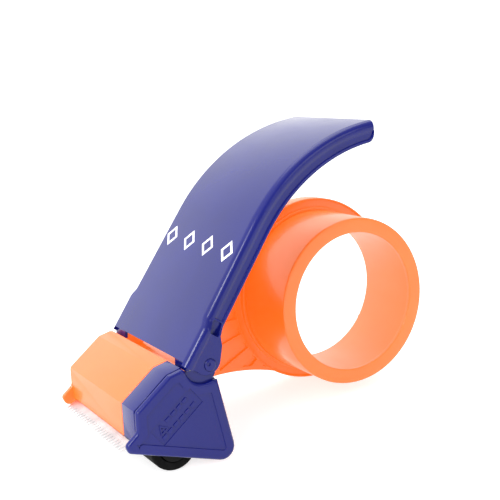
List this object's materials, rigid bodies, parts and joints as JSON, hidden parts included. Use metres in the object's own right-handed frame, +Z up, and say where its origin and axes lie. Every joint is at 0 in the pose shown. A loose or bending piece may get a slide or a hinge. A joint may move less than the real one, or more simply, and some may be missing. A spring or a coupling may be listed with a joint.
{
  "type": "packing tape dispenser",
  "caption": "Hand-held dispenser for wide packing tape: bowed folding handle, toothed cutting head with a press roller, and a drum that the roll turns on.",
  "frame": {"origin": "centre of the dispenser's footprint, on the surface that it stands on", "axes": "+X from the cutting head to the tape drum, +Y along the drum's axis to the closed side, +Z up"},
  "size_m": [0.169, 0.0742, 0.1246],
  "materials": {
    "orange_plastic": "moulded polypropylene, satin",
    "blue_plastic": "moulded polystyrene, gloss",
    "blade_steel": "ground spring steel",
    "zinc_steel": "zinc plated",
    "black_rubber": "moulded rubber, slight sheen",
    "nylon": "natural nylon"
  },
  "bodies": {
    "body": {"frame": "orange_plastic", "side_cover": "blue_plastic", "handle_pin_near": "blue_plastic", "handle_pin_far": "blue_plastic", "blade": "blade_steel", "blade_clamp": "zinc_steel", "tape_tongue": "nylon", "blade_screw_1": "zinc_steel", "blade_screw_2": "zinc_steel", "blade_screw_3": "zinc_steel", "press_roller_axle": "zinc_steel", "guide_roller_axle": "zinc_steel", "cover_screw_1": "zinc_steel", "cover_screw_2": "zinc_steel", "cover_screw_3": "zinc_steel"},
    "handle": {"handle": "blue_plastic"},
    "tape_drum": {"tape_drum": "orange_plastic"},
    "press_roller": {"press_roller_sleeve": "black_rubber", "press_roller_core": "nylon"},
    "guide_roller": {"guide_roller": "nylon"}
  },
  "joints": [
    {"name": "handle_fold", "type": "hinge", "parent": "body", "child": "handle", "pos_m": [-0.04832, -0.00185, 0.03975], "axis": [0, 1, 0], "range_deg": [0, 20]},
    {"name": "drum_spin", "type": "hinge", "parent": "body", "child": "tape_drum", "pos_m": [0.04154, -0.00185, 0.04298], "axis": [0, 1, 0], "continuous": true},
    {"name": "press_roller_spin", "type": "hinge", "parent": "body", "child": "press_roller", "pos_m": [-0.06305, -0.00185, 0.00968], "axis": [0, 1, 0], "continuous": true},
    {"name": "guide_roller_spin", "type": "hinge", "parent": "body", "child": "guide_roller", "pos_m": [-0.05294, -0.00185, 0.0211], "axis": [0, 1, 0], "continuous": true}
  ]
}
